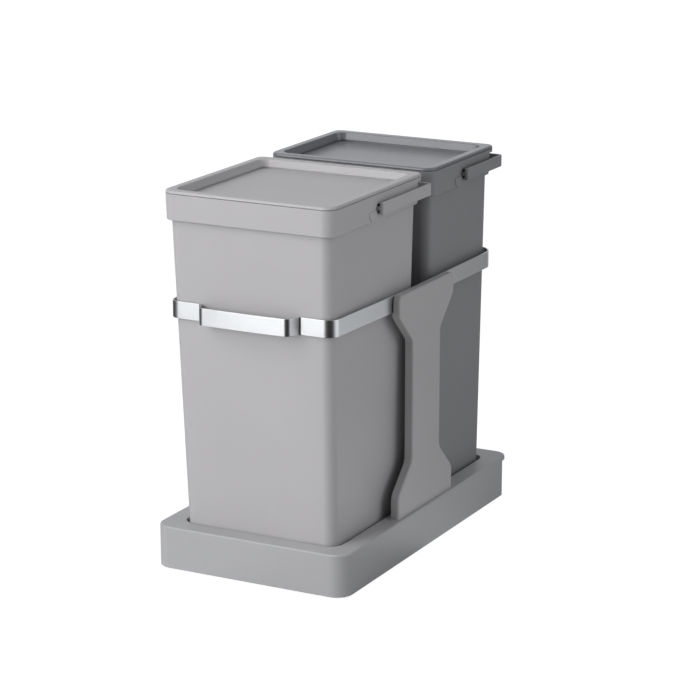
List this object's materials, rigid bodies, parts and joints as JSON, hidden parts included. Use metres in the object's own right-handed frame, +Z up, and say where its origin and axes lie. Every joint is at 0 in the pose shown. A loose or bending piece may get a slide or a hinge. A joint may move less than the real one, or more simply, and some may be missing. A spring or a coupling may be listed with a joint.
{
  "type": "pull-out double waste bin unit",
  "caption": "Pull-out waste unit for a narrow base cabinet: lidded plastic bins with bail handles stand in a tray on ball slides, held by a brushed steel band.",
  "frame": {"origin": "On the cabinet floor, below the middle of the closed unit (centre of the bounding box in X and Y, underside of the floor frame in Z).", "axes": "+Z up, X across the unit with +X to its right as seen from the front, and the unit pulls out towards -Y."},
  "size_m": [0.25, 0.4552, 0.4497],
  "materials": {
    "light_plastic": "fine-textured moulded plastic, light grey",
    "dark_plastic": "fine-textured moulded plastic, dark grey",
    "dark_lid_plastic": "fine-textured moulded plastic, dark grey",
    "tray_plastic": "fine-textured moulded plastic, mid grey",
    "upright_plastic": "fine-textured moulded plastic, mid grey",
    "band_steel": "stainless strip brushed along its length",
    "frame_steel": "powder-coated grey sheet steel",
    "slide_steel": "zinc-plated rolled steel, satin",
    "ball_steel": "polished bearing steel",
    "rivet_steel": "zinc-plated steel, satin",
    "cage_plastic": "moulded cage strip"
  },
  "bodies": {
    "cabinet_base": {"floor_frame": "frame_steel", "frame_rivets": "rivet_steel", "slide_outer_left": "slide_steel", "slide_outer_right": "slide_steel"},
    "slide_middle": {"slide_middle_left": "slide_steel", "slide_middle_right": "slide_steel"},
    "cage_outer": {"ball_cages_outer": "cage_plastic", "balls_outer": "ball_steel"},
    "cage_inner": {"ball_cages_inner": "cage_plastic", "balls_inner": "ball_steel"},
    "carriage": {"base_tray": "tray_plastic", "slide_inner_left": "slide_steel", "slide_inner_right": "slide_steel", "slide_rivets": "rivet_steel", "upright_left": "upright_plastic", "upright_right": "upright_plastic", "upright_screws": "rivet_steel", "retaining_band": "band_steel", "band_screws": "rivet_steel"},
    "front_bin_body": {"front_bin": "light_plastic"},
    "front_lid_body": {"front_lid": "light_plastic"},
    "front_handle_body": {"front_handle": "light_plastic"},
    "rear_bin_body": {"rear_bin": "dark_plastic"},
    "rear_lid_body": {"rear_lid": "dark_lid_plastic"},
    "rear_handle_body": {"rear_handle": "dark_plastic"}
  },
  "joints": [
    {"name": "pull_out", "type": "slide", "parent": "cabinet_base", "child": "carriage", "axis": [0, -1, 0], "range_m": [0, 0.38]},
    {"name": "slide_middle_run", "type": "slide", "parent": "cabinet_base", "child": "slide_middle", "axis": [0, -1, 0], "range_m": [0, 0.19]},
    {"name": "cage_outer_run", "type": "slide", "parent": "cabinet_base", "child": "cage_outer", "axis": [0, -1, 0], "range_m": [0, 0.095]},
    {"name": "cage_inner_run", "type": "slide", "parent": "cabinet_base", "child": "cage_inner", "axis": [0, -1, 0], "range_m": [0, 0.285]},
    {"name": "front_bin_lift", "type": "slide", "parent": "carriage", "child": "front_bin_body", "axis": [0, 0, 1], "range_m": [0, 0.36]},
    {"name": "rear_bin_lift", "type": "slide", "parent": "carriage", "child": "rear_bin_body", "axis": [0, 0, 1], "range_m": [0, 0.36]},
    {"name": "front_lid_lift", "type": "slide", "parent": "front_bin_body", "child": "front_lid_body", "axis": [0, 0, 1], "range_m": [0, 0.17]},
    {"name": "rear_lid_lift", "type": "slide", "parent": "rear_bin_body", "child": "rear_lid_body", "axis": [0, 0, 1], "range_m": [0, 0.17]},
    {"name": "front_handle_swing", "type": "hinge", "parent": "front_bin_body", "child": "front_handle_body", "pos_m": [0, -0.1072, 0.429], "axis": [1, 0, 0], "range_deg": [0, 90]},
    {"name": "rear_handle_swing", "type": "hinge", "parent": "rear_bin_body", "child": "rear_handle_body", "pos_m": [0, 0.11575, 0.429], "axis": [1, 0, 0], "range_deg": [0, 90]}
  ],
  "couplings": [
    {"joint": "slide_middle_run", "follows": "pull_out", "ratio": 0.5},
    {"joint": "cage_outer_run", "follows": "pull_out", "ratio": 0.25},
    {"joint": "cage_inner_run", "follows": "pull_out", "ratio": 0.75}
  ]
}
